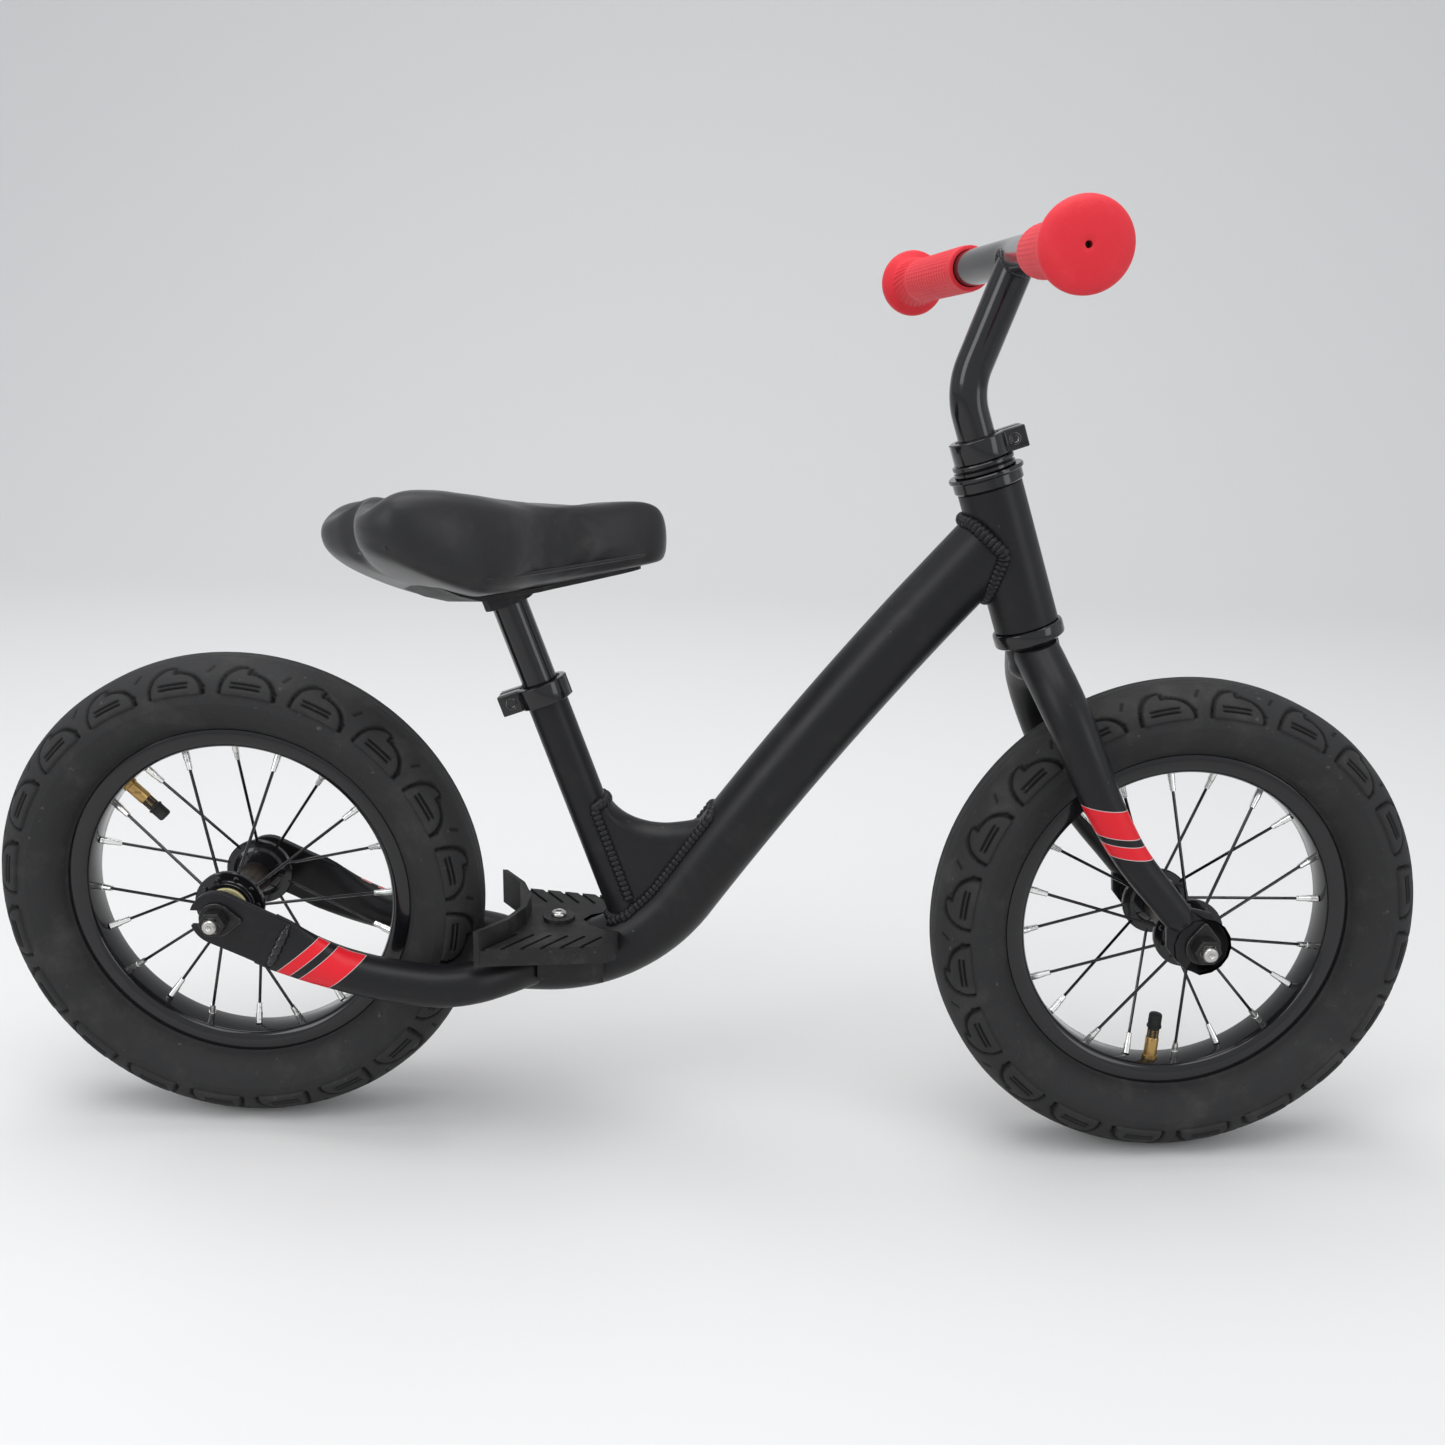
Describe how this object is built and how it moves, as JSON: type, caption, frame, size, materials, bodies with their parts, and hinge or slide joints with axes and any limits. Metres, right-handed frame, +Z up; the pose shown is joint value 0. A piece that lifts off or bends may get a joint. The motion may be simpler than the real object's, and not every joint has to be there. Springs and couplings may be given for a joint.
{
  "type": "child's balance bike",
  "caption": "Child's pedal-less balance bike: bent steel frame, unicrown fork, laced spoke wheels with fat air tyres, padded saddle, swept T handlebar and moulded footrest.",
  "frame": {"origin": "on the floor, under the middle of the bounding box", "axes": "+X forward along the frame, +Y to the rider's left, +Z up; the frame's middle plane lies at Y = -4.7 mm because the bar and front wheel are turned 7 degrees to the left"},
  "size_m": [0.9166, 0.4006, 0.5849],
  "materials": {
    "frame_paint": "satin black paint over welded steel",
    "gloss_paint": "gloss black",
    "rim_paint": "gloss black coated",
    "footrest_plastic": "matte moulded",
    "saddle_plastic": "moulded",
    "saddle_vinyl": "soft sheen vinyl over foam",
    "tyre_rubber": "matte rubber",
    "inner_tube_and_air": "matte",
    "cap_plastic": "moulded",
    "grip_rubber": "soft red moulded rubber",
    "zinc_steel": "zinc plated",
    "dark_steel": "dark coated",
    "seal_plastic": "cream moulded"
  },
  "bodies": {
    "frame": {"head_tube": "frame_paint", "main_tube": "frame_paint", "seat_tube": "frame_paint", "seat_gusset": "frame_paint", "chainstay_left": "frame_paint", "chainstay_right": "frame_paint", "rear_dropout_left": "frame_paint", "rear_dropout_right": "frame_paint", "footrest": "footrest_plastic", "footrest_bolt": "zinc_steel", "upper_headset_cup": "gloss_paint", "lower_headset_cup": "gloss_paint", "upper_head_bearing": "zinc_steel", "lower_head_bearing": "zinc_steel", "seat_clamp": "gloss_paint", "seat_clamp_bolt": "zinc_steel", "rear_axle": "zinc_steel", "rear_cone_left": "dark_steel", "rear_cone_right": "dark_steel", "rear_washer_left": "zinc_steel", "rear_washer_right": "zinc_steel", "rear_axle_nut_left": "zinc_steel", "rear_axle_nut_right": "zinc_steel"},
    "saddle": {"seat_post": "gloss_paint", "saddle_pan": "saddle_plastic", "saddle_cushion": "saddle_vinyl"},
    "rear_wheel": {"rear_tyre": "tyre_rubber", "rear_inner_tube": "inner_tube_and_air", "rear_valve_cap": "cap_plastic", "rear_rim": "rim_paint", "rear_hub": "dark_steel", "rear_ball_ring_left": "zinc_steel", "rear_ball_ring_right": "zinc_steel", "rear_dust_ring_left": "seal_plastic", "rear_dust_ring_right": "seal_plastic"},
    "fork": {"fork": "frame_paint", "crown_race": "zinc_steel", "headset_top_ring": "gloss_paint", "steerer_collar": "gloss_paint", "steerer_collar_bolt": "zinc_steel", "front_axle": "zinc_steel", "front_cone_left": "dark_steel", "front_cone_right": "dark_steel", "front_washer_left": "zinc_steel", "front_washer_right": "zinc_steel", "front_axle_nut_left": "zinc_steel", "front_axle_nut_right": "zinc_steel"},
    "handlebar": {"handlebar": "gloss_paint", "grip_left": "grip_rubber", "grip_right": "grip_rubber"},
    "front_wheel": {"front_tyre": "tyre_rubber", "front_inner_tube": "inner_tube_and_air", "front_valve_cap": "cap_plastic", "front_rim": "rim_paint", "front_hub": "dark_steel", "front_ball_ring_left": "zinc_steel", "front_ball_ring_right": "zinc_steel", "front_dust_ring_left": "seal_plastic", "front_dust_ring_right": "seal_plastic"}
  },
  "joints": [
    {"name": "rear_wheel_spin", "type": "hinge", "parent": "frame", "child": "rear_wheel", "pos_m": [-0.30083, -0.0047, 0.1575], "axis": [0, 1, 0], "continuous": true},
    {"name": "saddle_height", "type": "slide", "parent": "frame", "child": "saddle", "axis": [-0.3469, 0, 0.9379], "range_m": [-0.04, 0.03]},
    {"name": "steering", "type": "hinge", "parent": "frame", "child": "fork", "pos_m": [0.1934, -0.0047, 0.34787], "axis": [-0.3206, 0, 0.9472], "continuous": true},
    {"name": "handlebar_height", "type": "slide", "parent": "fork", "child": "handlebar", "axis": [-0.3206, 0, 0.9472], "range_m": [-0.01, 0.03]},
    {"name": "front_wheel_spin", "type": "hinge", "parent": "fork", "child": "front_wheel", "pos_m": [0.30188, 0.00042, 0.1574], "axis": [-0.1154, 0.9925, -0.0391], "continuous": true}
  ]
}
